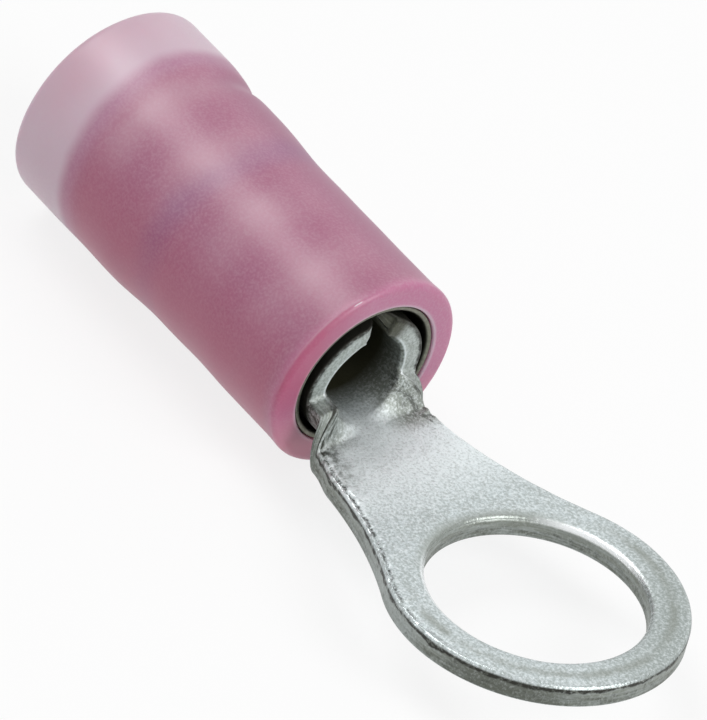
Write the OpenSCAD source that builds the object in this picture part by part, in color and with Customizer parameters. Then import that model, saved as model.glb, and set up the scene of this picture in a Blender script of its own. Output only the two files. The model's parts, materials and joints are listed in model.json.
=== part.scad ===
// Insulated ring terminal: a ring tongue and rolled wire barrel stamped from one
// strip of tinned copper, a thin metal support sleeve round the barrel, and a
// moulded nylon insulation sleeve over both.
// The barrel's axis runs along X. The origin is the centre of the stud hole, in
// the plane of the tongue's underside, and the wire enters from -X.

/* [Ring tongue] */
// Diameter of the stud hole
stud_hole_d = 5.0; // [3.6:0.1:5.4]
// Outside diameter of the ring
ring_od = 6.82; // [6.4:0.02:9]
// Thickness of the strip
stock_t = 0.55; // [0.4:0.05:0.7]
// Width of the neck where it meets the barrel
neck_w = 3.56; // [2.8:0.02:3.8]
// Radius that blends the ring into the neck
neck_blend_r = 10; // [6:0.5:12]
// Distance from the stud hole's centre to the bend across the neck
bend_dist = 5.3; // [4.6:0.1:5.6]
// Angle by which the tongue rises from the line of the barrel
tongue_rise = 4.5; // [0:0.5:8]
// Distance from the stud hole's centre to the barrel's front end
barrel_dist = 6.62; // [6.5:0.02:8]
// Length over which the neck curls up into the barrel
curl_len = 0.8; // [0.5:0.05:0.85]

/* [Wire barrel] */
// Outside diameter of the barrel
barrel_od = 3.2; // [2.6:0.1:3.6]
// Length of the barrel
barrel_len = 4.9; // [4:0.1:5.5]
// Opening left between the two wings at the seam
seam_gap = 0.06; // [0.02:0.01:0.2]
// Width across the rounded inner corners of the seam
seam_mouth_w = 0.8; // [0.4:0.05:1]
// How far the rounded inner corners reach into the wall
seam_mouth_depth = 0.28; // [0.1:0.02:0.35]
// Corner radius of the two wings, which leaves a notch at the seam's front end
wing_corner_r = 0.35; // [0.1:0.05:0.5]
// Lead-in chamfer at the barrel's wire end
barrel_lead_in = 0.18; // [0.05:0.01:0.25]

/* [Support sleeve] */
// Wall of the metal support sleeve
support_wall = 0.15; // [0.1:0.01:0.2]
// Bore of the rear part that grips the wire's insulation, and of the nylon behind it
grip_bore_d = 3.6; // [3.5:0.02:4.2]
// Clearance between the barrel and the front part's bore
barrel_clearance = 0.1; // [0.08:0.01:0.2]
// Clearance between the barrel and the bead that centres it
bead_clearance = 0.02; // [0.01:0.01:0.05]
// Clearance between the barrel's wire end and the flare behind it
flare_clearance = 0.1; // [0.05:0.05:0.3]
// Length of the flare from the front bore to the grip bore
flare_len = 0.9; // [0.5:0.1:1.5]
// Length of the grip bore, behind the flare
grip_len = 2.45; // [2:0.05:3.5]
// How far the support sleeve's front edge is set back
support_setback = 0.04; // [0:0.01:0.2]
// Distance of the centring bead from the sleeve's front face
bead_dist = 3.1; // [2:0.1:3.8]
// Length of the centring bead along the axis
bead_len = 0.9; // [0.5:0.1:1.2]
// Depth of the crimped waist in the grip part
waist_depth = 0.05; // [0:0.01:0.08]
// Length of the crimped waist along the axis
waist_len = 0.7; // [0.5:0.1:1.2]
// Distance of the waist from the support sleeve's wire end
waist_dist = 1.1; // [0.9:0.1:1.5]

/* [Insulation sleeve] */
// Wall of the nylon over the support sleeve
nylon_wall = 0.575; // [0.4:0.005:0.8]
// Clearance between the nylon and the support sleeve
nylon_clearance = 0.02; // [0.01:0.01:0.05]
// Length of bare nylon behind the support sleeve
entry_len = 1.38; // [1:0.02:2.5]
// Swell of the bare nylon over the part that is held by the support sleeve
entry_swell = 0.085; // [0:0.005:0.15]
// Depth of the funnel at the wire entry
funnel_depth = 0.5; // [0.2:0.05:0.7]
// How much wider the funnel is than the entry, on the radius
funnel_flare = 0.4; // [0.1:0.05:0.45]
// Height of the moulded lip at the front
lip_height = 0.025; // [0:0.005:0.05]
// Length of the moulded lip at the front
lip_len = 0.6; // [0.3:0.1:1]
// Rounding of the nylon's outer edges
edge_round = 0.16; // [0.05:0.01:0.25]

/* [Hidden] */
$fn = 96;

// ring and neck
ring_r = ring_od / 2;
neck_half = neck_w / 2;
blend_y = neck_half + neck_blend_r;
blend_x = -sqrt(pow(ring_r + neck_blend_r, 2) - pow(blend_y, 2));
blend_meet = [blend_x, blend_y] * ring_r / (ring_r + neck_blend_r);

// barrel
barrel_r = barrel_od / 2;
barrel_bore_r = barrel_r - stock_t;
barrel_fold_r = barrel_r - stock_t / 2;
bend_x = -bend_dist * cos(tongue_rise);
neck_floor_z = -bend_dist * sin(tongue_rise);
axis_z = neck_floor_z + barrel_r;

// support sleeve: its own distances are counted from the sleeve's front face
support_front_bore_r = barrel_r + barrel_clearance;
support_front_r = support_front_bore_r + support_wall;
grip_bore_r = grip_bore_d / 2;
grip_r = grip_bore_r + support_wall;
bead_depth = barrel_clearance - bead_clearance;
flare_start = barrel_len + flare_clearance;
support_end = flare_start + flare_len + grip_len;
waist_at = support_end - waist_dist;

// insulation sleeve
nylon_end = support_end + nylon_clearance + entry_len;
curl_steps = 12;
arc_steps = 24;
root_len = 0.2;
root_inset = 0.01;

// 0 before the start, 1 after the end, with a smooth rise between
function ease(t) = t <= 0 ? 0 : t >= 1 ? 1 : (1 - cos(180 * t)) / 2;

// 1 at the middle of a bead of length len, fading smoothly to 0 at its ends
function bump(s, middle, len) =
    abs(s - middle) >= len / 2 ? 0 : (1 + cos(360 * (s - middle) / len)) / 2;

function spread(from, to, steps) = [for (i = [0:steps]) from + (to - from) * i / steps];

// half width of the flat strip, at x along the tongue from the stud hole's centre
function half_width(x) =
    x <= blend_x ? neck_half : blend_y - sqrt(pow(neck_blend_r, 2) - pow(x - blend_x, 2));

// outer radius of the support sleeve at a distance s from the front face
function support_radius(s) =
    support_front_r + (grip_r - support_front_r) * ease((s - flare_start) / flare_len)
    - bead_depth * bump(s, bead_dist, bead_len) - waist_depth * bump(s, waist_at, waist_len);

function nylon_bore(s) = support_radius(s) + nylon_clearance;

// the nylon follows the support sleeve, softened by its own wall
function nylon_radius(s) =
    support_front_r + (grip_r - support_front_r) * ease((s - flare_start + flare_len / 2) / flare_len / 2)
    - bead_depth / 6 * bump(s, bead_dist, bead_len * 2) - waist_depth * bump(s, waist_at, waist_len)
    + nylon_clearance + nylon_wall + lip_height * bump(s, 0, lip_len * 2)
    + entry_swell * ease((s - waist_at) / (support_end - waist_at));

// point of the bent strip: across is measured along its middle layer, height from
// its underside, and curl 0 is flat while curl 1 has the barrel's own fold radius
function strip_point(x, across, height, curl) =
    curl == 0 ? [x, across, neck_floor_z + height] :
    let (fold_r = barrel_fold_r / curl,
         angle = across / fold_r * 180 / PI,
         r = fold_r + stock_t / 2 - height)
    [x, r * sin(angle), neck_floor_z + stock_t / 2 + fold_r - r * cos(angle)];

// one cross-section of the neck, as a closed outline that inset shrinks on all sides
function neck_section(x, curl, inset = 0) =
    let (half = half_width(x - bend_x - bend_dist) - inset)
    concat([for (v = spread(-half, half, arc_steps)) strip_point(x, v, inset, curl)],
           [for (v = spread(half, -half, arc_steps)) strip_point(x, v, stock_t - inset, curl)]);

// a section leaned back about the line where it meets the neck's underside
function leaned(section, angle) =
    [for (p = section) [p[0] - (p[2] - neck_floor_z) * sin(angle), p[1],
                        neck_floor_z + (p[2] - neck_floor_z) * cos(angle)]];

// solid through a list of strip sections, each an outer arc and the inner arc back
module skin(sections) {
    n = len(sections[0]);
    last = len(sections) - 1;
    points = [for (section = sections) each section];
    walls = [for (i = [0:last - 1], j = [0:n - 1])
        [i * n + j, i * n + (j + 1) % n, (i + 1) * n + (j + 1) % n, (i + 1) * n + j]];
    front_cap = [for (j = [0:n / 2 - 2]) [n - 1 - j, n - 2 - j, j + 1, j]];
    back_cap = [for (j = [0:n / 2 - 2]) [j, j + 1, n - 2 - j, n - 1 - j] + last * n * [1, 1, 1, 1]];
    polyhedron(points, concat(walls, front_cap, back_cap), convexity = 6);
}

// turns a profile drawn as [radius, distance from the front face] about the barrel's axis
module turned(profile) {
    translate([-barrel_dist, 0, axis_z]) rotate([0, -90, 0]) rotate_extrude() polygon(profile);
}

module tongue_outline() {
    circle(ring_r);
    difference() {
        translate([-bend_dist, -blend_meet[1]])
            square([bend_dist + blend_meet[0], 2 * blend_meet[1]]);
        for (side = [-1, 1]) translate([blend_x, side * blend_y]) circle(neck_blend_r, $fn = 360);
    }
}

module tongue() {
    rotate([0, -tongue_rise, 0]) linear_extrude(stock_t) difference() {
        tongue_outline();
        circle(d = stud_hole_d);
    }
}

// the neck runs level from the bend and curls up to the barrel's fold radius
module neck() {
    curl_start = -barrel_dist + curl_len;
    skin(concat(
        [leaned(neck_section(bend_x, 0), tongue_rise)],
        [for (x = spread(curl_start, -barrel_dist, curl_steps))
            let (t = (curl_start - x) / curl_len)
            neck_section(x, 2 * ease(t / 2), root_inset * t)],
        [neck_section(-barrel_dist - root_len, 1, root_inset)]));
}

// what the wings' rounded corners leave open, drawn with x against the wire's way
module seam_notch() {
    side_w = wing_corner_r + seam_gap / 2;
    difference() {
        translate([-wing_corner_r, -side_w]) square([2 * wing_corner_r, 2 * side_w]);
        for (side = [-1, 1]) translate([-wing_corner_r, side * side_w]) circle(wing_corner_r);
    }
}

module barrel() {
    translate([-barrel_dist, 0, axis_z]) rotate([0, -90, 0]) difference() {
        linear_extrude(barrel_len) difference() {
            circle(barrel_r);
            circle(barrel_bore_r);
            translate([0, -seam_gap / 2]) square([barrel_od, seam_gap]);
            polygon([[barrel_bore_r * 0.8, -seam_mouth_w / 2],
                     [barrel_bore_r + seam_mouth_depth, 0],
                     [barrel_bore_r * 0.8, seam_mouth_w / 2]]);
        }
        translate([barrel_bore_r / 2, 0, 0]) rotate([0, 90, 0])
            linear_extrude(barrel_r) seam_notch();
        translate([0, 0, barrel_len - barrel_lead_in])
            cylinder(h = barrel_lead_in, r1 = barrel_bore_r, r2 = barrel_bore_r + barrel_lead_in);
    }
}

module terminal_body() {
    color([0.74, 0.78, 0.77]) {
        tongue();
        neck();
        barrel();
    }
}

module support_sleeve() {
    stations = concat(
        [support_setback],
        spread(bead_dist - bead_len / 2, bead_dist + bead_len / 2, 8),
        spread(flare_start, flare_start + flare_len, 8),
        spread(waist_at - waist_len / 2, waist_at + waist_len / 2, 8),
        [support_end]);
    back = len(stations) - 1;
    color([0.6, 0.61, 0.58]) turned(concat(
        [for (s = stations) [support_radius(s), s]],
        [for (i = [back:-1:0]) [support_radius(stations[i]) - support_wall, stations[i]]]));
}

module insulation_sleeve() {
    bore_stations = concat(
        [0],
        spread(bead_dist - bead_len / 2, bead_dist + bead_len / 2, 8),
        spread(flare_start, flare_start + flare_len, 8),
        spread(waist_at - waist_len / 2, waist_at + waist_len / 2, 8),
        [support_end + nylon_clearance]);
    outer_stations = concat(
        spread(edge_round, lip_len, 4),
        spread(bead_dist - bead_len, bead_dist + bead_len, 8),
        spread(flare_start - flare_len / 2, flare_start + flare_len * 1.5, 10),
        spread(waist_at - waist_len / 2, waist_at + waist_len / 2, 8),
        [support_end, nylon_end - edge_round]);
    front_mid = nylon_radius(edge_round) - edge_round;
    back_mid = nylon_radius(nylon_end - edge_round) - edge_round;
    back = len(bore_stations) - 1;
    color([0.78, 0.5, 0.64]) turned(concat(
        [for (a = [0:18:72]) [front_mid + edge_round * sin(a), edge_round * (1 - cos(a))]],
        [for (s = outer_stations) [nylon_radius(s), s]],
        [for (a = [18:18:90]) [back_mid + edge_round * cos(a), nylon_end + edge_round * (sin(a) - 1)]],
        [[grip_bore_r + funnel_flare, nylon_end],
         [grip_bore_r, nylon_end - funnel_depth],
         [grip_bore_r, support_end + nylon_clearance]],
        [for (i = [back:-1:0]) [nylon_bore(bore_stations[i]), bore_stations[i]]]));
}

terminal_body();
support_sleeve();
insulation_sleeve();
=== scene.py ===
# Ring terminal: a tinned tongue and barrel, a thin metal sleeve round the barrel
# and a pink nylon sleeve over both. Sizes below are in millimetres.
import bpy, bmesh, json, math
from types import SimpleNamespace
from mathutils import Matrix, Vector, noise


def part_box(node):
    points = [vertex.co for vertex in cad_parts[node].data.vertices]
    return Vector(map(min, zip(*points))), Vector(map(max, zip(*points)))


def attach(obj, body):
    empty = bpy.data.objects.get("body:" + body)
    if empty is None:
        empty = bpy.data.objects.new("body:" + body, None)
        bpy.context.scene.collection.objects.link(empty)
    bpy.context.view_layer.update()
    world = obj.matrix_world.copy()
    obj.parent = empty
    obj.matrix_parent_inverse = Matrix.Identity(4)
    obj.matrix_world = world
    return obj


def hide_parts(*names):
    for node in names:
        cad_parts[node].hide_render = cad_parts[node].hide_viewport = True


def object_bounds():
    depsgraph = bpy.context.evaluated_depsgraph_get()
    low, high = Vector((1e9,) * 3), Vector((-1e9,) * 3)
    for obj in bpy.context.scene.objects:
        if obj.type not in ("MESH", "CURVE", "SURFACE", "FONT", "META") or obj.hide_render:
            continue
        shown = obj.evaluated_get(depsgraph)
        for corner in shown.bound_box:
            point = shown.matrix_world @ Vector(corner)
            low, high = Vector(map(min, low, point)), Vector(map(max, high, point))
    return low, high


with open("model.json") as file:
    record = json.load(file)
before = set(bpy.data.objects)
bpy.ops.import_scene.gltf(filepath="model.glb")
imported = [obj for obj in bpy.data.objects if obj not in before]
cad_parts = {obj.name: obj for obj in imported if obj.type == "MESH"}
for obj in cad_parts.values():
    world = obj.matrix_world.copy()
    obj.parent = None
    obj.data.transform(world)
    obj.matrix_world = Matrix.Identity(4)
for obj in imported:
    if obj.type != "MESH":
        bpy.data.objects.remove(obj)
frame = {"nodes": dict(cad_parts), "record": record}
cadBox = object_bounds()
mm = 0.001
mounts = {m["name"]: m for m in frame["record"]["mounts"]}
axisHeight = mounts["wire_barrel"]["pos_m"][2] / mm      # the barrel's axis
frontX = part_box("insulation_sleeve")[1][0] / mm           # the sleeve's front face


# --- small helpers for shapes

def ease(t):
    t = min(max(t, 0), 1)
    return (1 - math.cos(math.pi * t)) / 2

def bump(s, middle, length):
    return 0 if abs(s - middle) >= length / 2 else (1 + math.cos(2 * math.pi * (s - middle) / length)) / 2

def wholeOf(bm):
    return bm.verts[:] + bm.edges[:] + bm.faces[:]

def newVerts(geometry):
    return [g for g in geometry if isinstance(g, bmesh.types.BMVert)]

def drawLine(bm, start, end):
    # pulls a vertex out to a new place
    new = bmesh.ops.extrude_vert_indiv(bm, verts=[start])["verts"][0]
    new.co = end
    return new

def drawSteps(bm, start, end, count):
    first = start.co.copy()
    for i in range(1, count + 1):
        start = drawLine(bm, start, first.lerp(Vector((end[0], end[1], 0)), i / count))
    return start

def drawArc(bm, start, centre, degrees, count):
    # swings a vertex round a centre
    spun = bmesh.ops.spin(bm, geom=[start], cent=(centre[0], centre[1], 0), axis=(0, 0, 1),
                          dvec=(0, 0, 0), angle=math.radians(degrees), steps=count, use_duplicate=False)
    return newVerts(spun["geom_last"])[0]

def makePiece(name, bm, sharpDegrees=40):
    bmesh.ops.transform(bm, matrix=Matrix.Scale(mm, 4), verts=bm.verts)
    mesh = bpy.data.meshes.new(name)
    bm.to_mesh(mesh)
    bm.free()
    mesh.polygons.foreach_set("use_smooth", [True] * len(mesh.polygons))
    mesh.set_sharp_from_angle(angle=math.radians(sharpDegrees))
    piece = bpy.data.objects.new(name, mesh)
    bpy.context.scene.collection.objects.link(piece)
    return piece


# --- small helpers for materials

def newMaterial(name):
    material = bpy.data.materials.new(name)
    material.use_nodes = True
    tree = material.node_tree
    tree.nodes.clear()
    out = tree.nodes.new("ShaderNodeOutputMaterial")
    return material, tree, out

def addNode(tree, kind, **values):
    # settings by attribute name, socket values by their label with in_
    node = tree.nodes.new(kind)
    for key, value in values.items():
        if key.startswith("in_"):
            node.inputs[key[3:].replace("_", " ")].default_value = value
        else:
            setattr(node, key, value)
    return node

def feed(tree, socket, value):
    # links a socket to another one, or gives it a number or a colour
    if isinstance(value, bpy.types.NodeSocket):
        tree.links.new(value, socket)
    elif isinstance(value, tuple):
        socket.default_value = (*value, 1)
    else:
        socket.default_value = value

def ramp(tree, source, stops):
    node = tree.nodes.new("ShaderNodeValToRGB")
    node.color_ramp.interpolation = "EASE"
    elements = node.color_ramp.elements
    while len(elements) > 1:
        elements.remove(elements[-1])
    for i, (place, colour) in enumerate(stops):
        element = elements[0] if i == 0 else elements.new(place)
        element.position = place
        element.color = (*colour, 1)
    tree.links.new(source, node.inputs["Fac"])
    return node.outputs["Color"]

def mixColour(tree, factor, a, b):
    node = addNode(tree, "ShaderNodeMix", data_type="RGBA")
    for socket, value in ((node.inputs[0], factor), (node.inputs[6], a), (node.inputs[7], b)):
        feed(tree, socket, value)
    return node.outputs[2]

def maths(tree, operation, a, b=0.0):
    node = addNode(tree, "ShaderNodeMath", operation=operation)
    feed(tree, node.inputs[0], a)
    feed(tree, node.inputs[1], b)
    return node.outputs[0]

def times(tree, value, *others):
    for other in others:
        value = maths(tree, "MULTIPLY", value, other)
    return value

def oneMinus(tree, value):
    return maths(tree, "SUBTRACT", 1.0, value)

def distanceFrom(tree, value, middle):
    return maths(tree, "ABSOLUTE", maths(tree, "SUBTRACT", value, middle))

def lengthOf(tree, a, b):
    return maths(tree, "SQRT", maths(tree, "ADD", times(tree, a, a), times(tree, b, b)))

def remap(tree, value, a, b, c=0, d=1):
    node = addNode(tree, "ShaderNodeMapRange", clamp=True)
    tree.links.new(value, node.inputs[0])
    for i, number in enumerate((a, b, c, d)):
        node.inputs[i + 1].default_value = number
    return node.outputs[0]

def remapMm(tree, value, a, b, c=0, d=1):
    # as remap, with a and b in millimetres
    return remap(tree, value, a * mm, b * mm, c, d)

def noiseOn(tree, vector, scale, detail=2.0, rough=0.5, stretch=(1, 1, 1)):
    # scale is in features per millimetre
    mapping = addNode(tree, "ShaderNodeMapping", in_Scale=stretch)
    tree.links.new(vector, mapping.inputs["Vector"])
    texture = addNode(tree, "ShaderNodeTexNoise", in_Scale=scale / mm, in_Detail=detail, in_Roughness=rough)
    tree.links.new(mapping.outputs["Vector"], texture.inputs["Vector"])
    return texture.outputs["Fac"]

def bumpOn(tree, height, distance, strength, under=None):
    node = addNode(tree, "ShaderNodeBump", in_Strength=strength, in_Distance=distance * mm)
    tree.links.new(height, node.inputs["Height"])
    if under:
        tree.links.new(under, node.inputs["Normal"])
    return node.outputs["Normal"]

def splitVector(tree, vector):
    node = tree.nodes.new("ShaderNodeSeparateXYZ")
    tree.links.new(vector, node.inputs[0])
    return node.outputs["X"], node.outputs["Y"], node.outputs["Z"]

def objectPlace(tree):
    return tree.nodes.new("ShaderNodeTexCoord").outputs["Object"]

def attribute(tree, name, output="Fac"):
    return addNode(tree, "ShaderNodeAttribute", attribute_name=name).outputs[output]

def linkShader(tree, shader, out, colour, rough, normal):
    for label, value in (("Base Color", colour), ("Roughness", rough), ("Normal", normal)):
        tree.links.new(value, shader.inputs[label])
    tree.links.new(shader.outputs["BSDF"], out.inputs["Surface"])


# --- camera

view = {
    "place": (98.106, -124.622, 126.292), "right": (0.59287, 0.76194, 0.26068),
    "up": (-0.62173, 0.22735, 0.74950), "lens": 470.1, "sensor": 36, "clip": (0.01, 5),
}

def placeCamera(p):
    camera = bpy.data.objects.new("camera", bpy.data.cameras.new("camera"))
    bpy.context.scene.collection.objects.link(camera)
    right, up = Vector(p["right"]), Vector(p["up"])
    right.normalize()
    up = (up - right * up.dot(right)).normalized()
    turn = Matrix((right, up, right.cross(up))).transposed().to_4x4()
    camera.matrix_world = Matrix.Translation(Vector(p["place"]) * mm) @ turn
    camera.data.lens = p["lens"]
    camera.data.sensor_width = p["sensor"]
    camera.data.clip_start, camera.data.clip_end = p["clip"]
    bpy.context.scene.camera = camera

placeCamera(view)
print("camera placed")


# --- tongue, neck and barrel, drawn as the flat blank and then bent
# u runs along the blank, w across it and h through the strip; pairs are left and right

body = {
    "holeRadius": 2.5, "ringRadius": 3.41, "thickness": 0.55,
    "neckHalf": 1.78, "blendRadius": 10, "bendDistance": 5.3, "rise": 4.5, "bendSoft": 0.35,
    "barrelRadius": 1.6, "barrelLength": 4.9, "seamGap": 0.06,
    "wingCorner": 0.36, "wingFillet": 0.12, "rearCorner": 0.36,
    "wingSetback": 0.34, "wingSetbackWidth": 0.8, "wingSetbackLength": 2,
    "seamTaper": 0.8, "seamTaperDepth": 0.42,
    "seamOpening": (0.05, 0.15), "seamOpeningWidth": 0.75, "seamOpeningLength": 1.4,
    "sprungIn": (0.13, 0.06), "sprungFrom": 1.5, "sprungWidth": 1.7, "sprungLength": 1.8,
    "creases": (-5.72, -6.15), "creaseLength": 0.42,        # where the wings turn up
    "foldPlace": (-5.64, -6.1), "foldWidth": (0.6, 0.45), "foldLength": 0.9, "foldHeight": 0.03,
    "drawIn": 0.13, "drawInSpan": (-4.9, -6.2), "drawInEase": (0.8, 0.3),
    "insets": (0.012, 0.014, 0.02, 0.024, 0.05, 0.1, 0.12),
    "topRound": 0.09, "holeRound": 0.11, "underRound": 0.035,
    "rimDip": 0.014, "rimDipFrom": 0.12, "rimDipWidth": 0.2, "holeDip": 0.05, "holeDipWidth": 0.34,
    "burrSpan": (-5.9, 1.5), "burrEase": (0.3, 2), "burrHeight": 0.05, "grooveDepth": 0.08,
    "unevenness": 0.006,
    "levels": (0.02, 0.1, 0.24, 0.38, 0.47, 0.53),
    "counts": {"ring": 96, "blend": 60, "neck": 2, "fillet": 5, "wing": 26, "corner": 8, "side": 40,
               "rear": 5, "back": 50, "hole": 120},
    "cutStep": 0.1, "curlCut": 0.05, "barrelCut": 0.5, "curlFrom": -4.8, "cutFrom": -5,
    "offGrid": 0.00037,                                     # keeps the cuts clear of the vertices
}

def drawBlank(p):
    # half of the outline and of the hole, mirrored, filled and ringed with insets
    bm = bmesh.new()
    foldRadius = p["barrelRadius"] - p["thickness"] / 2
    wingHalf = math.pi * foldRadius - p["seamGap"] / 2
    reach = p["ringRadius"] + p["blendRadius"]
    blendV = p["neckHalf"] + p["blendRadius"]
    blendU = -math.sqrt(reach ** 2 - blendV ** 2)
    wingU = p["wingU"]
    backU = wingU - p["barrelLength"]
    corner, fillet, rear = p["wingCorner"], p["wingFillet"], p["rearCorner"]
    swing = math.degrees(math.atan2(blendV, blendU))
    counts = p["counts"]
    v = bm.verts.new((p["ringRadius"], 0, 0))
    v = drawArc(bm, v, (0, 0), swing, counts["ring"])
    v = drawArc(bm, v, (blendU, blendV), -(90 - (180 - swing)), counts["blend"])
    v = drawSteps(bm, v, (wingU + fillet, p["neckHalf"]), counts["neck"])
    v = drawArc(bm, v, (wingU + fillet, p["neckHalf"] + fillet), -90, counts["fillet"])
    v = drawSteps(bm, v, (wingU, wingHalf - corner), counts["wing"])
    v = drawArc(bm, v, (wingU - corner, wingHalf - corner), 90, counts["corner"])
    v = drawSteps(bm, v, (backU + rear, wingHalf), counts["side"])
    v = drawArc(bm, v, (backU + rear, wingHalf - rear), 90, counts["rear"])
    drawSteps(bm, v, (backU, 0), counts["back"])
    drawArc(bm, bm.verts.new((p["holeRadius"], 0, 0)), (0, 0), 180, counts["hole"])
    bmesh.ops.mirror(bm, geom=bm.verts[:] + bm.edges[:], axis="Y", merge_dist=0.001)
    bmesh.ops.remove_doubles(bm, verts=bm.verts, dist=0.001)
    bmesh.ops.triangle_fill(bm, use_beauty=True, edges=bm.edges[:], normal=(0, 0, 1))
    insetBlank(bm, p)
    return bm, wingHalf

def insetBlank(bm, p):
    # each vertex keeps its distance from the wall, and whether that wall is the hole's
    inset = bm.verts.layers.float.new("inset")
    nearHole = bm.verts.layers.float.new("nearHole")

    def isNearHole(v, depth):
        return 1 if math.hypot(v.co.x, v.co.y) < p["holeRadius"] + depth + 0.05 else 0

    for v in bm.verts:
        v[nearHole] = isNearHole(v, 0)
    field, depth = bm.faces[:], 0
    for step in p["insets"]:
        bmesh.ops.inset_region(bm, faces=field, use_boundary=True, use_even_offset=True, thickness=step)
        depth += step
        for v in {v for f in field for v in f.verts}:
            v[inset] = depth
            v[nearHole] = isNearHole(v, depth)

def cutBlank(bm, p, wingHalf):
    # lines across and along the blank, close together where it bends
    backU = p["wingU"] - p["barrelLength"]
    count = int(wingHalf / p["cutStep"])
    across = [i * p["cutStep"] for i in range(-count, count + 1)]
    along, u = [], p["ringRadius"]
    while u > backU:
        inCurl = p["wingU"] - 0.1 < u < p["curlFrom"]
        u -= p["curlCut"] if inCurl else p["cutStep"] if u > p["cutFrom"] else p["barrelCut"]
        along.append(u)
    for places, normal in ((across, (0, 1, 0)), (along, (1, 0, 0))):
        for place in places:
            bmesh.ops.bisect_plane(bm, geom=wholeOf(bm), dist=0.0001,
                                   plane_co=Vector(normal) * (place + p["offGrid"]), plane_no=normal)

def thickenBlank(bm, p):
    raised = bmesh.ops.extrude_face_region(bm, geom=bm.faces[:])["geom"]
    bmesh.ops.translate(bm, vec=(0, 0, p["thickness"]), verts=newVerts(raised))
    for level in p["levels"]:
        bmesh.ops.bisect_plane(bm, geom=wholeOf(bm), dist=0.0001, plane_co=(0, 0, level), plane_no=(0, 0, 1))

def roundOff(d, r):
    # how far a rounded edge has dropped at a distance d from the wall
    return 0 if d >= r else r - math.sqrt(max(0, r * r - (r - d) ** 2))

def seamDrop(side, p):
    # the wings' inner corners are rounded over towards the seam
    near = min(max(1 - side / p["seamTaper"], 0), 1)
    return p["seamTaperDepth"] * (1 - math.sqrt(1 - near * near))

def edgeDip(d, atHole, inBarrel, p):
    # the face is drawn down round the hole, and a little along the outer edge
    if atHole:
        return p["holeDip"] * max(0, 1 - d / p["holeDipWidth"]) ** 2
    return 0 if inBarrel else p["rimDip"] * (1 - ease((d - p["rimDipFrom"]) / p["rimDipWidth"]))

def burrRise(u, w, d, p):
    # a ragged burr along the edge, with a groove behind it
    start, end = p["burrSpan"]
    rag = noise.noise(Vector((u * 5, w * 5, 3)))
    share = ease((u - start) / p["burrEase"][0]) * ease((end - u) / p["burrEase"][1])
    return share * (p["burrHeight"] * bump(d, 0.045, 0.09) * (0.4 + 1.2 * rag)
                    - p["grooveDepth"] * bump(d, 0.12, 0.16) * max(0, 0.4 + 1.4 * rag))

def wearBlank(bm, p, wingHalf):
    # rounded, burred and tapered edges, while the blank is still flat
    inset, nearHole = bm.verts.layers.float["inset"], bm.verts.layers.float["nearHole"]
    sheared = bm.verts.layers.float.new("sheared")
    flat = bm.verts.layers.float_vector.new("flat")
    t = p["thickness"]
    for v in bm.verts:
        u, w, h = v.co
        d = v[inset]
        v[flat] = Vector((u, w, h)) * mm
        atHole, inBarrel, inWing = v[nearHole] > 0.5, u < p["wingU"] + 0.2, u < p["wingU"]
        isTop, isUnder = h > t - 0.001, h < 0.001
        v[sheared] = 1 if not isTop and not isUnder else max(0, 1 - d / p["insets"][0])
        top = p["holeRound"] if atHole else p["topRound"]
        if isTop:
            h = t - roundOff(d, top) - edgeDip(d, atHole, inBarrel, p)
            if w < 0 and not atHole and p["burrSpan"][0] < u < p["burrSpan"][1]:
                h += burrRise(u, w, d, p)
            if inWing:
                h -= seamDrop(wingHalf - abs(w), p)
        elif isUnder:
            h = roundOff(d, p["underRound"])
        else:                                               # walls end where the rounded edge starts
            lost = top + (p["holeDip"] if atHole else 0 if inBarrel else p["rimDip"])
            h = p["underRound"] + (h / t) * (t - p["underRound"] - lost)
            if inWing:
                h -= h / t * seamDrop(wingHalf - abs(w), p)
        if w < 0:                                           # drawn in a little where the wing turns up
            start, end = p["drawInSpan"]
            span = ease((start - u) / p["drawInEase"][0]) * ease((u - end) / p["drawInEase"][1])
            v.co.y += p["drawIn"] * span * (w / p["neckHalf"]) ** 2
        if isTop and not inBarrel:
            h += p["unevenness"] * noise.noise(Vector((u * 1.7, w * 1.7, 1)))
        v.co.z = h
        behind = p["wingU"] - u
        if w > 0 and inWing:                                # one wing's corner is cut back further
            back = max(0, 1 - (wingHalf - w) / p["wingSetbackWidth"]) ** 2
            v.co.x -= p["wingSetback"] * back * max(0, 1 - behind / p["wingSetbackLength"])
        if inWing:                                          # the seam opens a little at its front
            tip = ease(1 - (wingHalf - abs(w)) / p["seamOpeningWidth"])
            tip *= max(0, 1 - behind / p["seamOpeningLength"])
            v.co.y -= math.copysign(p["seamOpening"][w > 0] * tip, w)

def creaseBlank(bm, p):
    # folds pinched into the neck's edges where the wings turn up
    for side, at, width in zip((-1, 1), p["foldPlace"], p["foldWidth"]):
        for v in bm.verts:
            u, w, h = v.co
            near = bump(u, at, p["foldLength"]) * ease((side * w - (p["neckHalf"] - width)) / width)
            if near > 0 and h > p["thickness"] * 0.5:
                ridge = math.sin((u + 0.3 * side * w) * 19) + 1.6 * noise.noise(Vector((u * 7, w * 7, 8)))
                v.co.z += p["foldHeight"] * near * ridge

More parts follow.
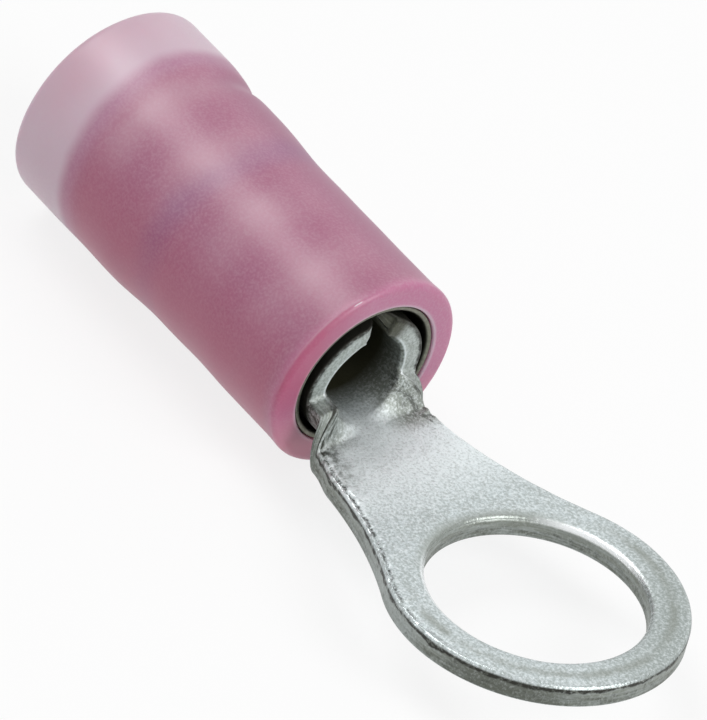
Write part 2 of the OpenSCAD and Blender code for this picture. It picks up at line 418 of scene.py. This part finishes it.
def bendBlank(bm, p):
    # the tongue rises from the bend, and the neck curls up into the barrel
    rise = math.radians(p["rise"])
    bendX, floorZ = -p["bendDistance"] * math.cos(rise), -p["bendDistance"] * math.sin(rise)
    half = p["thickness"] / 2
    foldRadius = p["barrelRadius"] - half
    soft = p["bendSoft"]
    for v in bm.verts:
        u, w, h = v.co
        past = u + p["bendDistance"]
        turned = rise * min(max((past + soft) / (2 * soft), 0), 1)
        # the middle line of the bend is a short arc
        if past <= -soft:
            x, z = bendX + past, floorZ
        elif past >= soft:
            x, z = bendX + past * math.cos(rise), floorZ + past * math.sin(rise)
        else:
            x, z = bendX + past, floorZ + rise * (past + soft) ** 2 / (4 * soft)
        acrossNeck = min(max(w / p["neckHalf"] / 2 + 0.5, 0), 1)
        start = p["creases"][0] + (p["creases"][1] - p["creases"][0]) * acrossNeck
        curl = ease((start - x) / p["creaseLength"]) if x > frontX + 0.005 else 1
        if curl > 0.0001:
            r = foldRadius / curl
            a = w / r
            # the wings have sprung inwards a little at the front
            outer = ease((abs(w) - p["sprungFrom"]) / p["sprungWidth"])
            sprung = p["sprungIn"][w > 0] * outer * ease(1 - (frontX - x) / p["sprungLength"])
            arm = r + half - h - sprung
            v.co = Vector((x, arm * math.sin(a), z + half + r - arm * math.cos(a)))
        else:
            v.co = Vector((x - h * math.sin(turned), w, z + h * math.cos(turned)))

def makeBody(p):
    # wingU is where the wings' front edges lie once the strip is bent
    p["wingU"] = frontX + p["bendDistance"] * math.cos(math.radians(p["rise"])) - p["bendDistance"]
    bm, wingHalf = drawBlank(p)
    cutBlank(bm, p, wingHalf)
    thickenBlank(bm, p)
    wearBlank(bm, p, wingHalf)
    creaseBlank(bm, p)
    bendBlank(bm, p)
    bmesh.ops.triangulate(bm, faces=[f for f in bm.faces if len(f.verts) > 4])
    bmesh.ops.recalc_face_normals(bm, faces=bm.faces)
    return makePiece("terminal", bm, 180)

terminal = makeBody(body)
print("terminal bent", len(terminal.data.polygons))


# --- turned sleeves
# s is the distance behind the sleeve's front face

sleeve = {
    "barrelClearance": 0.1, "supportWall": 0.15, "gripRadius": 1.95, "beadDepth": 0.08,
    "flareStart": 5.0, "flareLength": 0.9, "supportEnd": 8.35, "setback": 0.04,
    "leadIn": 0.07, "supportRound": 0.035,
    "beadMiddle": 3.1, "beadLength": 0.9, "waistMiddle": 7.25, "waistDepth": 0.05, "waistLength": 0.7,
    "nylonWall": 0.575, "clearance": 0.02, "nylonEnd": 9.75, "entryRadius": 1.8,
    "funnelDepth": 0.5, "funnelFlare": 0.4, "lipHeight": 0.025, "lipLength": 0.6,
    "edgeRound": 0.16, "rimRound": 0.045, "swell": 0.085,
    "turns": 144, "supportStations": 110, "nylonStations": 150, "funnelSteps": 8,
    "pinch": 0.06, "pinchMiddle": 7.27, "pinchLength": 0.8, "pinchTurn": 0.35,
    "unevenness": 0.014, "ripple": 0.008, "rippleStart": 1.39, "rippleLength": 1.95,
    "straightTurn": 0.5, "straightSwell": 0.075, "outerFrom": 2.3,
}
frontRadius = body["barrelRadius"] + sleeve["barrelClearance"] + sleeve["supportWall"]

def supportRadius(s, p=sleeve):
    return (frontRadius + (p["gripRadius"] - frontRadius) * ease((s - p["flareStart"]) / p["flareLength"])
            - p["beadDepth"] * bump(s, p["beadMiddle"], p["beadLength"])
            - p["waistDepth"] * bump(s, p["waistMiddle"], p["waistLength"]))

def nylonWaist(s, p=sleeve):
    return p["waistDepth"] * 0.6 * bump(s, p["waistMiddle"], p["waistLength"] * 1.6)

def nylonSwell(s, p=sleeve):
    return ease((s - p["waistMiddle"]) / (p["supportEnd"] - p["waistMiddle"]))

def nylonRadius(s, p=sleeve):
    rise = ease((s - p["flareStart"] + p["flareLength"] / 2) / p["flareLength"] / 2)
    return (frontRadius + (p["gripRadius"] - frontRadius) * rise
            - p["beadDepth"] / 6 * bump(s, p["beadMiddle"], p["beadLength"] * 2) - nylonWaist(s)
            + p["clearance"] + p["nylonWall"] + p["lipHeight"] * bump(s, 0, p["lipLength"] * 2)
            + p["swell"] * nylonSwell(s))

def turnProfile(points, turns):
    # points are [radius, s], turned about the barrel's axis
    bm = bmesh.new()
    vert = first = bm.verts.new((frontX - points[0][1], 0, axisHeight + points[0][0]))
    for radius, s in points[1:]:
        vert = drawLine(bm, vert, (frontX - s, 0, axisHeight + radius))
    bm.edges.new((vert, first))
    bmesh.ops.spin(bm, geom=bm.verts[:] + bm.edges[:], cent=(0, 0, axisHeight), axis=(1, 0, 0),
                   dvec=(0, 0, 0), angle=2 * math.pi, steps=turns, use_merge=True, use_duplicate=False)
    bmesh.ops.remove_doubles(bm, verts=bm.verts, dist=0.0001)
    bmesh.ops.recalc_face_normals(bm, faces=bm.faces)
    return bm

def quarter(radius, s, r, start, count=5):
    # a rounded corner, its centre at [radius, s], start and 90 degrees on
    turns = [math.radians(start + 90 * i / count) for i in range(count + 1)]
    return [[radius + r * math.cos(turn), s + r * math.sin(turn)] for turn in turns]

def stationsBetween(start, end, count):
    return [start + (end - start) * i / count for i in range(1, count)]

def makeSupport(p):
    wall, front, end, lead, r = p["supportWall"], p["setback"], p["supportEnd"], p["leadIn"], p["supportRound"]
    stations = stationsBetween(front + r, end - r, p["supportStations"])
    outside = [[supportRadius(s), s] for s in stations]
    inside = [[supportRadius(s) - wall, s] for s in reversed(stations) if s > front + lead * 1.6]
    frontOuter, backOuter = supportRadius(front), supportRadius(end)
    bore = frontOuter - wall
    mouth = [[bore, front + lead * 1.6], [bore + lead * 0.4, front + lead * 0.6], [bore + lead, front + 0.01]]
    points = (mouth + quarter(frontOuter - r, front + r, r, 270) + outside
              + quarter(backOuter - r, end - r, r, 0) + quarter(backOuter - wall + r, end - r, r, 90) + inside)
    return makePiece("supportTube", turnProfile(points, p["turns"]), 60)

def nylonDent(s, arm, place, p):
    # the crimped waist is deeper on one side, and ripples show where the tube below grips
    turn = math.atan2(arm.y, arm.x)
    pinch = p["pinch"] * bump(s, p["pinchMiddle"], p["pinchLength"])
    pinch *= max(0, math.cos(turn - p["pinchTurn"])) ** 2
    ripple = p["unevenness"] * noise.noise(Vector((s * 0.7, place.y * 0.5, place.z * 0.5)))
    wave = math.cos(2 * math.pi * (s - p["rippleStart"]) / p["rippleLength"])
    ripple -= p["ripple"] * wave * max(0, math.cos(turn - math.pi / 2 - 0.5))
    # on the other side the waist and the swell behind it die away
    straight = max(0, -math.cos(turn - p["straightTurn"]))
    return pinch + ripple + straight * (p["straightSwell"] * nylonSwell(s) - nylonWaist(s))

def makeNylon(p):
    r, rim, end = p["edgeRound"], p["rimRound"], p["nylonEnd"]
    outside = [[nylonRadius(s), s] for s in stationsBetween(r, end - r, p["nylonStations"])]
    bore = [[supportRadius(s) + p["clearance"], s]
            for s in stationsBetween(p["supportEnd"], 0, p["supportStations"])[:-1]]
    seat = p["supportEnd"] + p["clearance"]
    step = [[p["entryRadius"], seat], [supportRadius(p["supportEnd"]) + p["clearance"], seat]]
    count = p["funnelSteps"]
    turns = [math.radians(90 * i / count) for i in range(count, -1, -1)]
    funnel = [[p["entryRadius"] + p["funnelFlare"] * (1 - math.cos(turn)),
               end - p["funnelDepth"] * (1 - math.sin(turn))] for turn in turns]
    points = (quarter(supportRadius(0) + p["clearance"] + rim, rim, rim, 180)
              + quarter(nylonRadius(r) - r, r, r, 270) + outside
              + quarter(nylonRadius(end - r) - r, end - r, r, 0) + funnel + step + bore)
    bm = turnProfile(points, p["turns"])
    for v in bm.verts:
        s = frontX - v.co.x
        arm = Vector((v.co.y, v.co.z - axisHeight))
        if arm.length > p["outerFrom"]:
            arm -= arm.normalized() * nylonDent(s, arm, v.co, p)
            v.co.y, v.co.z = arm.x, axisHeight + arm.y
    return makePiece("nylonSleeve", bm, 50)

supportTube = makeSupport(sleeve)
nylonSleeve = makeNylon(sleeve)
print("sleeves turned", len(supportTube.data.polygons), len(nylonSleeve.data.polygons))


# --- tinned strip

tin = {
    "base": (0.50, 0.56, 0.57), "dull": (0.40, 0.44, 0.43), "glint": (0.84, 0.89, 0.9),
    "paintedMouthLight": (0.84, 0.9, 0.91), "shaded": (0.32, 0.36, 0.35), "paintedHighlight": (0.95, 0.97, 0.98),
    "burnishedAndShade": (0.23, 0.25, 0.22), "torn": (0.1, 0.11, 0.09), "wing": (0.35, 0.385, 0.36),
    "inside": (0.044, 0.044, 0.024), "deep": (0.02, 0.02, 0.015), "metallic": 0.6, "rough": 0.5,
    # noises: features per millimetre, detail, roughness and stretch
    "grain": (15, 3, 0.68), "coarse": (7, 3, 0.6), "mottle": (1.6, 4, 0.65), "chips": (6, 4, 0.7),
    "rag": (9, 4, 0.7, (1, 1, 0.5)), "streak": (5, 4, 0.6, (0.25, 0.25, 2.4)),
    "wander": (2.2, 4, 0.6, (1, 1, 0.2)), "wanderHeight": 0.4, "lineRadius": 3.0,
}

def tinFields(tree, p):
    # where a point lay on the flat blank, how far from a wall, and the noises that mark it
    f = SimpleNamespace()
    place, flat = objectPlace(tree), attribute(tree, "flat", "Vector")
    f.along, f.across, f.height = splitVector(tree, flat)
    f.halfAcross = maths(tree, "ABSOLUTE", f.across)
    f.sheared, f.edge, f.hole = (attribute(tree, name) for name in ("sheared", "inset", "nearHole"))
    f.plain, f.outer = oneMinus(tree, f.sheared), oneMinus(tree, f.hole)
    f.grain, f.coarse, f.mottle = (noiseOn(tree, place, *p[name]) for name in ("grain", "coarse", "mottle"))
    f.chips, f.rag, f.streak = (noiseOn(tree, flat, *p[name]) for name in ("chips", "rag", "streak"))
    # walls change from torn to burnished at a wandering height
    wander = maths(tree, "SUBTRACT", noiseOn(tree, flat, *p["wander"]), 0.5)
    f.step = maths(tree, "ADD", f.height, times(tree, wander, p["wanderHeight"] * mm))
    f.layer = remapMm(tree, f.step, 0.24, 0.3)
    f.wing = remapMm(tree, f.along, frontX + 0.5, frontX)
    return f

def tinFace(tree, p, f):
    # plated faces: pale, mottled, with a fine bright grain
    face = mixColour(tree, remap(tree, f.mottle, 0.38, 0.66, 0, 0.45), p["base"], p["dull"])
    face = mixColour(tree, remap(tree, f.coarse, 0.42, 0.62, 0, 0.4), face, p["dull"])
    # painted light: the neck paler as it nears the sleeve's mouth, where the sleeve shades it
    paintedMouthLight = times(tree, remapMm(tree, f.along, -3, -4.6, 0, 0.8), remapMm(tree, f.along, -6.9, -6.3))
    face = mixColour(tree, paintedMouthLight, face, p["paintedMouthLight"])
    # painted shade: the ring darker towards its far side
    far = maths(tree, "ADD", f.along, f.across)
    face = mixColour(tree, remapMm(tree, far, 1.5, 4, 0, 0.95), face, p["shaded"])
    # painted shade where the neck turns up into the barrel
    turned = times(tree, remapMm(tree, f.along, -5.5, -5.9), remapMm(tree, f.halfAcross, 0.4, 1),
                   remapMm(tree, f.across, -1, 1, 0.75, 0.9))
    face = mixColour(tree, turned, face, p["burnishedAndShade"])
    shine = times(tree, remap(tree, f.grain, 0.47, 0.66, 0, 0.55), remapMm(tree, far, 1.5, 4.2, 1, 0.7))
    face = mixColour(tree, shine, face, p["glint"])
    pits = times(tree, remap(tree, f.grain, 0.5, 0.34, 0, 0.45), oneMinus(tree, times(tree, paintedMouthLight, 0.25)))
    face = mixColour(tree, pits, face, p["burnishedAndShade"])
    # painted shade along a faint pressed line round the ring
    offLine = distanceFrom(tree, lengthOf(tree, f.along, f.across), p["lineRadius"] * mm)
    line = times(tree, remapMm(tree, offLine, 0.03, 0.17, 0.6, 0), remap(tree, f.mottle, 0.35, 0.55, 0.15, 1),
                 remapMm(tree, f.along, -1.4, -0.2))
    return mixColour(tree, line, face, p["burnishedAndShade"])

def tinEdges(tree, p, f, face):
    # painted shade where the face slopes down into the hole at the neck side
    paintedSlopeShade = times(tree, times(tree, f.hole, remap(tree, f.edge, 0.04, 0.3, 0.75, 0)),
                   remapMm(tree, f.along, -1.3, -2.1))
    face = mixColour(tree, paintedSlopeShade, face, p["burnishedAndShade"])
    # a painted highlight along the hole's edge beside it
    paintedEdgeHighlight = times(tree, f.hole, remap(tree, f.edge, 0.06, 0.13, 0.8, 0), remapMm(tree, f.along, -2.1, -1.5),
                   remapMm(tree, f.along, 1, 0))
    face = mixColour(tree, paintedEdgeHighlight, face, p["paintedHighlight"])
    # dark flecks along the burred edge and where the wings are folded up
    burr = times(tree, remap(tree, distanceFrom(tree, f.edge, 0.12), 0.02, 0.06, 1, 0),
                 remapMm(tree, f.across, -0.9, -1.3), remapMm(tree, f.along, 1.5, -1.5), f.outer,
                 remap(tree, f.chips, 0.44, 0.54, 0, 0.85))
    face = mixColour(tree, burr, face, p["deep"])
    scuffed = times(tree, remapMm(tree, f.along, -4.2, -5), remapMm(tree, f.across, -1.1, -1.5),
                    remap(tree, f.chips, 0.4, 0.6, 0.15, 0.75))
    face = mixColour(tree, scuffed, face, p["torn"])
    folded = times(tree, remapMm(tree, f.along, -5.3, -5.7), remapMm(tree, f.halfAcross, 1, 1.5),
                   remapMm(tree, f.along, -6.9, -6.6), remap(tree, f.chips, 0.5, 0.6, 0, 0.7))
    return mixColour(tree, folded, face, p["deep"])

def tinWall(tree, p, f):
    # sheared walls: burnished above, torn below, with streaks down the cut
    torn = mixColour(tree, remap(tree, f.rag, 0.35, 0.65), p["torn"], p["burnishedAndShade"])
    wall = mixColour(tree, f.layer, torn, p["burnishedAndShade"])
    wall = mixColour(tree, remap(tree, f.streak, 0.42, 0.62, 0, 0.55), wall, p["dull"])
    # painted light: the wall paler at the ring's near left
    pale = times(tree, remapMm(tree, f.along, 0.4, -0.2, 0, 0.55), remapMm(tree, f.across, -2, -2.6))
    wall = mixColour(tree, pale, wall, p["dull"])
    # painted shade: the ring's outer wall darker further round
    shade = times(tree, remapMm(tree, f.along, 0.5, 1.5, 0, 0.8), remapMm(tree, f.along, 3.3, 2.7),
                  remapMm(tree, f.across, 0, -1))
    wall = mixColour(tree, shade, wall, p["torn"])
    wall = mixColour(tree, remap(tree, f.grain, 0.5, 0.7, 0, 0.2), wall, p["glint"])
    wall = mixColour(tree, remap(tree, f.chips, 0.58, 0.66, 0, 0.4), wall, p["deep"])
    lip = times(tree, remapMm(tree, f.step, 0.42, 0.47), remap(tree, f.chips, 0.36, 0.5, 0.15, 0.95), f.outer)
    return mixColour(tree, lip, wall, p["deep"])

def tinWing(tree, p, f):
    # the wings' front edges: grained, with a painted highlight on the inner rim, chipped on the outer one
    wing = mixColour(tree, remap(tree, f.coarse, 0.4, 0.6, 0, 0.6), p["wing"], p["dull"])
    wing = mixColour(tree, remap(tree, f.grain, 0.46, 0.66, 0, 0.3), wing, p["glint"])
    wing = mixColour(tree, remap(tree, f.grain, 0.5, 0.36, 0, 0.5), wing, p["burnishedAndShade"])
    wing = mixColour(tree, remapMm(tree, f.height, 0.49, 0.55, 0, 0.6), wing, p["glint"])
    rim = times(tree, remapMm(tree, f.height, 0.15, 0.03), remap(tree, f.chips, 0.42, 0.54, 0, 0.95))
    wing = mixColour(tree, rim, wing, p["deep"])
    # painted shade on the right wing's tip, towards the seam
    return mixColour(tree, remapMm(tree, f.across, 3.15, 3.5, 0, 0.9), wing, p["inside"])

def makeTin(p):
    material, tree, out = newMaterial("mattTin")
    f = tinFields(tree, p)
    face = tinEdges(tree, p, f, tinFace(tree, p, f))
    wall = mixColour(tree, f.wing, tinWall(tree, p, f), tinWing(tree, p, f))
    colour = mixColour(tree, f.sheared, face, wall)
    # painted shade: dark inside the barrel, and outside it below the tube
    paintedBoreShade = maths(tree, "MAXIMUM", remapMm(tree, f.along, frontX - 0.02, frontX - 0.8),
                   times(tree, f.wing, remapMm(tree, f.halfAcross, 3.2, 3.6, 0, 0.9)))
    colour = mixColour(tree, times(tree, paintedBoreShade, f.plain), colour, p["inside"])
    paintedShadeBelow = times(tree, remapMm(tree, f.height, 0.1, 0.04),
                  remapMm(tree, f.along, frontX + 0.01, frontX - 0.03))
    colour = mixColour(tree, paintedShadeBelow, colour, p["deep"])
    rough = remap(tree, f.mottle, 0.3, 0.7, p["rough"] - 0.05, p["rough"] + 0.1)
    struck = times(tree, remap(tree, f.edge, 0.06, 0.14, 0.28, 0), remapMm(tree, f.along, -5.4, -5), f.plain)
    normal = bumpOn(tree, f.coarse, 0.03, 0.35)
    normal = bumpOn(tree, f.grain, 0.016, 0.6, normal)
    normal = bumpOn(tree, times(tree, maths(tree, "ADD", f.rag, f.layer), f.sheared), 0.03, 0.5, normal)
    shader = addNode(tree, "ShaderNodeBsdfPrincipled", in_Metallic=p["metallic"])
    linkShader(tree, shader, out, colour, maths(tree, "SUBTRACT", rough, struck), normal)
    return material


# --- satin tube

tube = {
    "pale": (0.22, 0.22, 0.18), "dark": (0.13, 0.13, 0.1), "bore": (0.03, 0.03, 0.022), "metallic": 0.9,
    "drawn": (9, 3, 0.6, (0.05, 1, 1)), "spots": (4, 3),
}

def makeTubeTin(p):
    material, tree, out = newMaterial("satinTube")
    place = objectPlace(tree)
    drawn, spots = noiseOn(tree, place, *p["drawn"]), noiseOn(tree, place, *p["spots"])
    colour = mixColour(tree, remap(tree, drawn, 0.3, 0.7), p["pale"], p["dark"])
    y, z = splitVector(tree, place)[1:]
    fromAxis = lengthOf(tree, y, maths(tree, "SUBTRACT", z, axisHeight * mm))
    # painted shade: dark inside the tube's bore
    colour = mixColour(tree, remapMm(tree, fromAxis, 1.72, 1.76, 1, 0), colour, p["bore"])
    shader = addNode(tree, "ShaderNodeBsdfPrincipled", in_Metallic=p["metallic"])
    rough, normal = remap(tree, spots, 0.3, 0.7, 0.3, 0.5), bumpOn(tree, drawn, 0.006, 0.5)
    linkShader(tree, shader, out, colour, rough, normal)
    return material


# --- pink nylon

nylon = {
    "bare": (0.72, 0.55, 0.64), "edge": (0.5, 0.22, 0.35), "body": (0.44, 0.13, 0.24),
    "band": (0.35, 0.105, 0.245), "front": (0.58, 0.18, 0.34), "cloud": (0.68, 0.4, 0.49),
    "paintedLowerShade": (0.52, 0.1, 0.18), "paintedShadeBeside": (0.27, 0.045, 0.155), "paintedFaceShade": (0.5, 0.06, 0.16),
    "speck": (0.7, 0.5, 0.6), "lower": (0.85, 0.36, 0.46), "nick": (0.95, 0.9, 0.93),
    "stops": ((0, "front"), (0.4, "body"), (4.3, "body"), (4.95, "band"), (5.6, "body"),
              (7.6, "body"), (8.0, "edge"), (8.42, "bare"), (9.75, "bare")),     # in s
    "clouds": (0.45, 3, 0.55), "specks": (16, 2), "wobbles": (0.5, 2), "wobble": 0.045, "slant": 0.033,
    "rough": 0.4, "transmission": 0.2, "scatter": (1, 0.5, 0.7), "scatterScale": 0.4,
}

def nylonFields(tree, p):
    f = SimpleNamespace()
    place = objectPlace(tree)
    f.x, f.y, z = splitVector(tree, place)
    f.rise = maths(tree, "SUBTRACT", z, axisHeight * mm)
    f.cloud, f.speck = noiseOn(tree, place, *p["clouds"]), noiseOn(tree, place, *p["specks"])
    f.behind = remapMm(tree, f.x, frontX, frontX - 1)
    f.low = maths(tree, "ADD", times(tree, f.y, -0.75), times(tree, f.rise, -0.66))
    # the share of the way back, which wanders a little and slants at the rear
    wobble = maths(tree, "SUBTRACT", noiseOn(tree, place, *p["wobbles"]), 0.5)
    s = remapMm(tree, f.x, frontX, frontX - sleeve["nylonEnd"])
    s = maths(tree, "ADD", s, times(tree, wobble, p["wobble"]))
    slant = times(tree, remapMm(tree, f.low, 0, 2.4, 0, p["slant"]), remap(tree, s, 0.5, 0.7))
    f.s = maths(tree, "ADD", s, slant)
    return f

def nylonWallColour(tree, p, f):
    length = sleeve["nylonEnd"]
    colour = ramp(tree, f.s, [(s / length, p[name]) for s, name in p["stops"]])
    # painted highlights in paler swells along the sleeve, broken up by soft uneven clouds
    perLength = 2 * math.pi / sleeve["rippleLength"]
    wave = maths(tree, "SINE", maths(tree, "ADD", times(tree, f.s, length * perLength),
                                     math.pi / 2 - sleeve["rippleStart"] * perLength))
    paintedCrestHighlights = times(tree, remap(tree, wave, -0.9, 1, 0.25, 1), remap(tree, f.cloud, 0.32, 0.56, 0.25, 0.62))
    # the painted highlights are kept to the upper side
    lean = maths(tree, "ADD", times(tree, f.y, -0.47), times(tree, f.rise, 0.88))
    paintedCrestHighlights = times(tree, paintedCrestHighlights, remapMm(tree, lean, 1.7, 2.5, 0.12, 1))
    colour = mixColour(tree, paintedCrestHighlights, colour, p["cloud"])
    colour = mixColour(tree, remap(tree, f.speck, 0.4, 0.7, 0, 0.26), colour, p["speck"])
    # painted shade: deeper in colour on the lower side and on the +y side
    tinted = remap(tree, f.s, 0.86, 0.76)
    paintedShadeBelow = times(tree, remapMm(tree, f.low, 0.6, 2, 0, 0.55), tinted, remap(tree, f.s, 0.02, 0.06, 0.4, 1))
    colour = mixColour(tree, paintedShadeBelow, colour, p["paintedLowerShade"])
    paintedShadeBeside = times(tree, remapMm(tree, f.y, 0.1, 1.5, 0, 0.5), remap(tree, f.s, 0.02, 0.1), tinted)
    return mixColour(tree, paintedShadeBeside, colour, p["paintedShadeBeside"])

def nylonFrontColour(tree, p, f, colour):
    # a thin pale line where the mould parted, round the front edge
    thin = times(tree, remap(tree, distanceFrom(tree, f.behind, 0.13), 0.01, 0.035, 0.5, 0),
                 remap(tree, f.cloud, 0.4, 0.6))
    colour = mixColour(tree, thin, colour, p["bare"])
    # the bore's rim glows a little
    rim = times(tree, remapMm(tree, lengthOf(tree, f.rise, f.y), 1.97, 1.91, 0, 0.7),
                remap(tree, f.behind, 0.05, 0.1, 1, 0))
    colour = mixColour(tree, rim, colour, p["bare"])
    # painted light and shade on the front face: paler below and deeper at one side
    onFace = remap(tree, f.behind, 0.08, 0.18, 1, 0)
    paler = times(tree, onFace, remapMm(tree, f.rise, -0.5, -1.7, 0, 0.7))
    colour = mixColour(tree, paler, colour, p["lower"])
    deeper = times(tree, remapMm(tree, f.y, -0.5, -1.8, 0, 0.6), remapMm(tree, f.rise, -0.7, 0.3))
    colour = mixColour(tree, times(tree, onFace, deeper), colour, p["paintedFaceShade"])
    # one small nick on the front edge
    nick = remapMm(tree, distanceFrom(tree, f.y, -0.9 * mm), 0.07, 0.13, 1, 0)
    nick = times(tree, remapMm(tree, f.rise, 0, 1), nick,
                 remap(tree, distanceFrom(tree, f.behind, 0.075), 0.006, 0.016, 0.85, 0))
    return mixColour(tree, nick, colour, p["nick"])

def makeNylonMaterial(p):
    material, tree, out = newMaterial("pinkNylon")
    f = nylonFields(tree, p)
    colour = nylonFrontColour(tree, p, f, nylonWallColour(tree, p, f))
    rough = remap(tree, f.speck, 0.3, 0.7, p["rough"] - 0.04, p["rough"] + 0.08)
    normal = bumpOn(tree, f.cloud, 0.05, 0.3, bumpOn(tree, f.speck, 0.004, 0.35))
    shader = addNode(tree, "ShaderNodeBsdfPrincipled", in_IOR=1.53, in_Transmission_Weight=p["transmission"],
                     in_Subsurface_Weight=0.4, in_Subsurface_Radius=p["scatter"],
                     in_Subsurface_Scale=p["scatterScale"] * mm, in_Coat_Weight=0.15, in_Coat_Roughness=0.32)
    linkShader(tree, shader, out, colour, rough, normal)
    return material

tinMaterial, tubeMaterial, nylonMaterial = makeTin(tin), makeTubeTin(tube), makeNylonMaterial(nylon)
for piece, node, slot, material in ((terminal, "terminal_body", "tinned_copper", tinMaterial),
                                    (supportTube, "support_sleeve", "tinned_tube", tubeMaterial),
                                    (nylonSleeve, "insulation_sleeve", "nylon", nylonMaterial)):
    piece.data.materials.append(material)
    frame["nodes"][node].data.materials.clear()
    frame["nodes"][node].data.materials.append(material)
    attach(piece, "root")
    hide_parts(node)
print("materials made")


# --- floor, lamps and world

studio = {
    "floorColour": (0.9, 0.9, 0.9), "floorSize": 600, "floorGap": 0.01, "lift": 0.82, "ambient": 0.4,
    "target": (-6, 0, 1),
    "key": {"place": (-106, -36, 166), "size": 110, "power": 0.14},
    "front": {"place": (130, 30, 120), "size": 110, "power": 0.15},
    "side": {"place": (-60, 150, 90), "size": 120, "power": 0.02},
}

def seenWhite(tree):
    # 1 where the camera sees a surface itself, in a reflection or through the nylon
    path = tree.nodes.new("ShaderNodeLightPath")
    seen = maths(tree, "MAXIMUM", path.outputs["Is Camera Ray"], path.outputs["Is Glossy Ray"])
    return maths(tree, "MAXIMUM", seen, path.outputs["Is Transmission Ray"])

def makeFloor(p):
    bm = bmesh.new()
    bmesh.ops.create_grid(bm, x_segments=1, y_segments=1, size=p["floorSize"])
    bmesh.ops.translate(bm, vec=(0, 0, cadBox[0][2] / mm - p["floorGap"]), verts=bm.verts)
    floor = makePiece("floor", bm)
    material, tree, out = newMaterial("paleFloor")
    paint = addNode(tree, "ShaderNodeBsdfPrincipled", in_Base_Color=(*p["floorColour"], 1), in_Roughness=0.9)
    glow = addNode(tree, "ShaderNodeEmission", in_Color=(1, 1, 1, 1), in_Strength=1.0)
    mix = tree.nodes.new("ShaderNodeMixShader")
    tree.links.new(times(tree, seenWhite(tree), p["lift"]), mix.inputs[0])
    tree.links.new(paint.outputs["BSDF"], mix.inputs[1])
    tree.links.new(glow.outputs["Emission"], mix.inputs[2])
    tree.links.new(mix.outputs["Shader"], out.inputs["Surface"])
    floor.data.materials.append(material)

def makeLamp(name, p, target):
    lamp = bpy.data.objects.new(name, bpy.data.lights.new(name, "AREA"))
    lamp.data.shape, lamp.data.size, lamp.data.energy = "DISK", p["size"] * mm, p["power"]
    lamp.location = Vector(p["place"]) * mm
    lamp.rotation_euler = (Vector(target) * mm - lamp.location).to_track_quat("-Z", "Y").to_euler()
    bpy.context.scene.collection.objects.link(lamp)

def makeWorld(p):
    world = bpy.data.worlds.new("softRoom")
    bpy.context.scene.world = world
    world.use_nodes = True
    tree = world.node_tree
    tree.nodes.clear()
    strength = maths(tree, "ADD", times(tree, seenWhite(tree), 1 - p["ambient"]), p["ambient"])
    room = addNode(tree, "ShaderNodeBackground", in_Color=(1, 1, 1, 1))
    tree.links.new(strength, room.inputs["Strength"])
    out = tree.nodes.new("ShaderNodeOutputWorld")
    tree.links.new(room.outputs["Background"], out.inputs["Surface"])

makeFloor(studio)
for name in ("key", "front", "side"):
    makeLamp(name, studio[name], studio["target"])
makeWorld(studio)
bpy.context.scene.view_settings.view_transform = "Standard"
print("studio lit")
